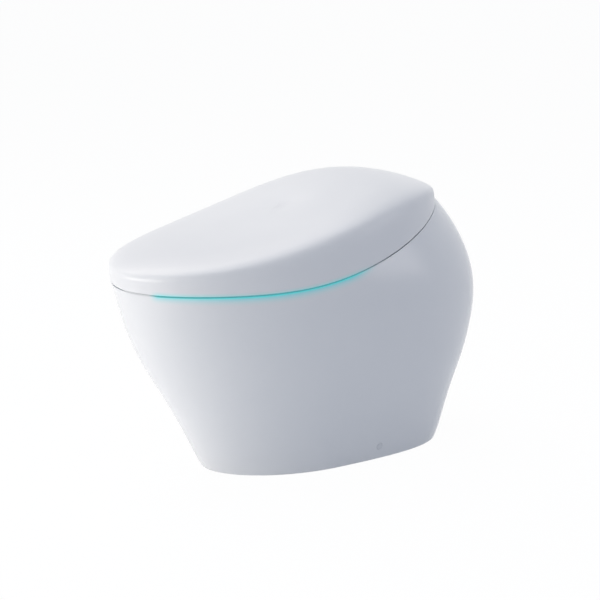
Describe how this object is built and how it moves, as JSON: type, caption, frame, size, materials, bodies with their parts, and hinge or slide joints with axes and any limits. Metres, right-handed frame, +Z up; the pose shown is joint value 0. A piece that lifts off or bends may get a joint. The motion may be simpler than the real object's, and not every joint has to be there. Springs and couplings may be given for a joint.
{
  "type": "smart toilet",
  "caption": "Floor-standing one-piece smart toilet with an egg-shaped glazed body, a pebble-like lid over a heated seat, a washing wand, a warm air dryer and a glowing seam.",
  "frame": {"origin": "on the floor under the middle of the object's bounding box", "axes": "+Z up, the sitter faces -Y, the sitter's left hand is at +X"},
  "size_m": [0.426, 0.7909, 0.5611],
  "materials": {
    "glaze": "glossy fired glaze",
    "lid_gloss": "moulded gloss",
    "lid_inner": "moulded satin",
    "seat_gloss": "moulded gloss",
    "cover_white": "fine satin",
    "cap_white": "moulded gloss",
    "grey_plastic": "moulded satin",
    "tank_plastic": "blown satin",
    "black_plastic": "fine texture",
    "gear_plastic": "moulded acetal",
    "tip_white": "moulded gloss",
    "lens": "polished dark window",
    "button": "satin cap",
    "board": "solder mask",
    "filter": "moulded case",
    "film": "polyimide film",
    "hose": "ribless hose",
    "rubber": "moulded ring",
    "pad": "soft pad",
    "steel": "bright",
    "wand_steel": "polished tube",
    "motor_steel": "plated can",
    "brass": "turned",
    "light_guide": "clear strip lit from behind",
    "lamp_strip": "lamp tape"
  },
  "bodies": {
    "base": {"ceramic_body": "glaze", "ceramic_rim": "glaze", "ceramic_bowl": "glaze", "ceramic_trap": "glaze", "floor_brackets": "steel", "side_screws": "steel", "side_screw_caps": "cap_white", "drain_socket": "grey_plastic", "drain_seal": "rubber", "service_panel": "cover_white", "water_inlet": "brass", "power_gland": "black_plastic", "supply_hose": "hose", "flush_tank": "tank_plastic", "flush_pump": "black_plastic", "rim_nozzle": "grey_plastic", "rim_hose": "hose", "base_plate": "grey_plastic", "plate_screws": "steel", "unit_cover": "cover_white", "sensor_window": "lens", "heater_tank": "tank_plastic", "control_board": "board", "valve_block": "black_plastic", "power_supply": "black_plastic", "deodoriser_filter": "filter", "nozzle_tray": "cover_white", "wand_guide": "grey_plastic", "wand_motor": "motor_steel", "dryer_duct": "grey_plastic", "dryer_housing": "grey_plastic", "dryer_motor": "motor_steel", "seat_bearings": "grey_plastic", "seat_pins": "steel", "seat_dampers": "black_plastic", "hinge_housing": "cover_white", "lid_bushes": "gear_plastic", "lid_drive": "motor_steel", "light_guides": "light_guide", "light_strips": "lamp_strip"},
    "seat": {"seat_top": "seat_gloss", "seat_base": "seat_gloss", "seat_heater": "film", "seat_buffers": "pad"},
    "lid_shaft": {"lid_shaft": "steel", "lid_yoke": "steel", "yoke_pad": "rubber"},
    "lid": {"lid_shell": "lid_gloss", "lid_liner": "lid_inner", "lid_lugs": "lid_inner", "lid_buffers": "pad"},
    "wand": {"wand_tube": "wand_steel", "wand_tip": "tip_white", "wand_rack": "gear_plastic"},
    "wand_pinion": {"wand_pinion": "gear_plastic"},
    "dryer_fan": {"dryer_fan": "gear_plastic"},
    "dryer_flap": {"dryer_flap": "cover_white"},
    "power_button": {"power_button": "button"}
  },
  "joints": [
    {"name": "seat_hinge", "type": "hinge", "parent": "base", "child": "seat", "pos_m": [0, 0.1, 0.408], "axis": [-1, 0, 0], "range_deg": [0, 95]},
    {"name": "lid_shaft_turn", "type": "hinge", "parent": "base", "child": "lid_shaft", "pos_m": [0, 0.275, 0.52307], "axis": [-1, 0, 0], "range_deg": [0, 95.5]},
    {"name": "lid_hinge", "type": "hinge", "parent": "lid_shaft", "child": "lid", "pos_m": [0, 0.275, 0.52307], "axis": [1, 0, 0], "range_deg": [-95, 0]},
    {"name": "wand_slide", "type": "slide", "parent": "base", "child": "wand", "axis": [0, -0.9397, -0.342], "range_m": [0, 0.078]},
    {"name": "wand_pinion_turn", "type": "hinge", "parent": "base", "child": "wand_pinion", "pos_m": [0.01685, 0.14961, 0.40025], "axis": [0, -0.342, 0.9397], "range_deg": [0, 750]},
    {"name": "dryer_fan_spin", "type": "hinge", "parent": "base", "child": "dryer_fan", "pos_m": [-0.1075, 0.18, 0.42], "axis": [0, 0, 1], "continuous": true},
    {"name": "dryer_flap_swing", "type": "hinge", "parent": "base", "child": "dryer_flap", "pos_m": [0, 0.04704, 0.37739], "axis": [-1, 0, 0], "range_deg": [0, 60], "stiffness_Nm_per_rad": 0.003, "springref_deg": -22.92},
    {"name": "power_button_press", "type": "slide", "parent": "base", "child": "power_button", "axis": [0, 0.2588, -0.9659], "range_m": [0, 0.0015], "stiffness_N_per_m": 500, "springref_m": -0.001}
  ],
  "couplings": [
    {"joint": "lid_shaft_turn", "follows": "seat_hinge", "ratio": 1},
    {"joint": "wand_pinion_turn", "follows": "wand_slide", "rad_per_m": 166.67}
  ]
}
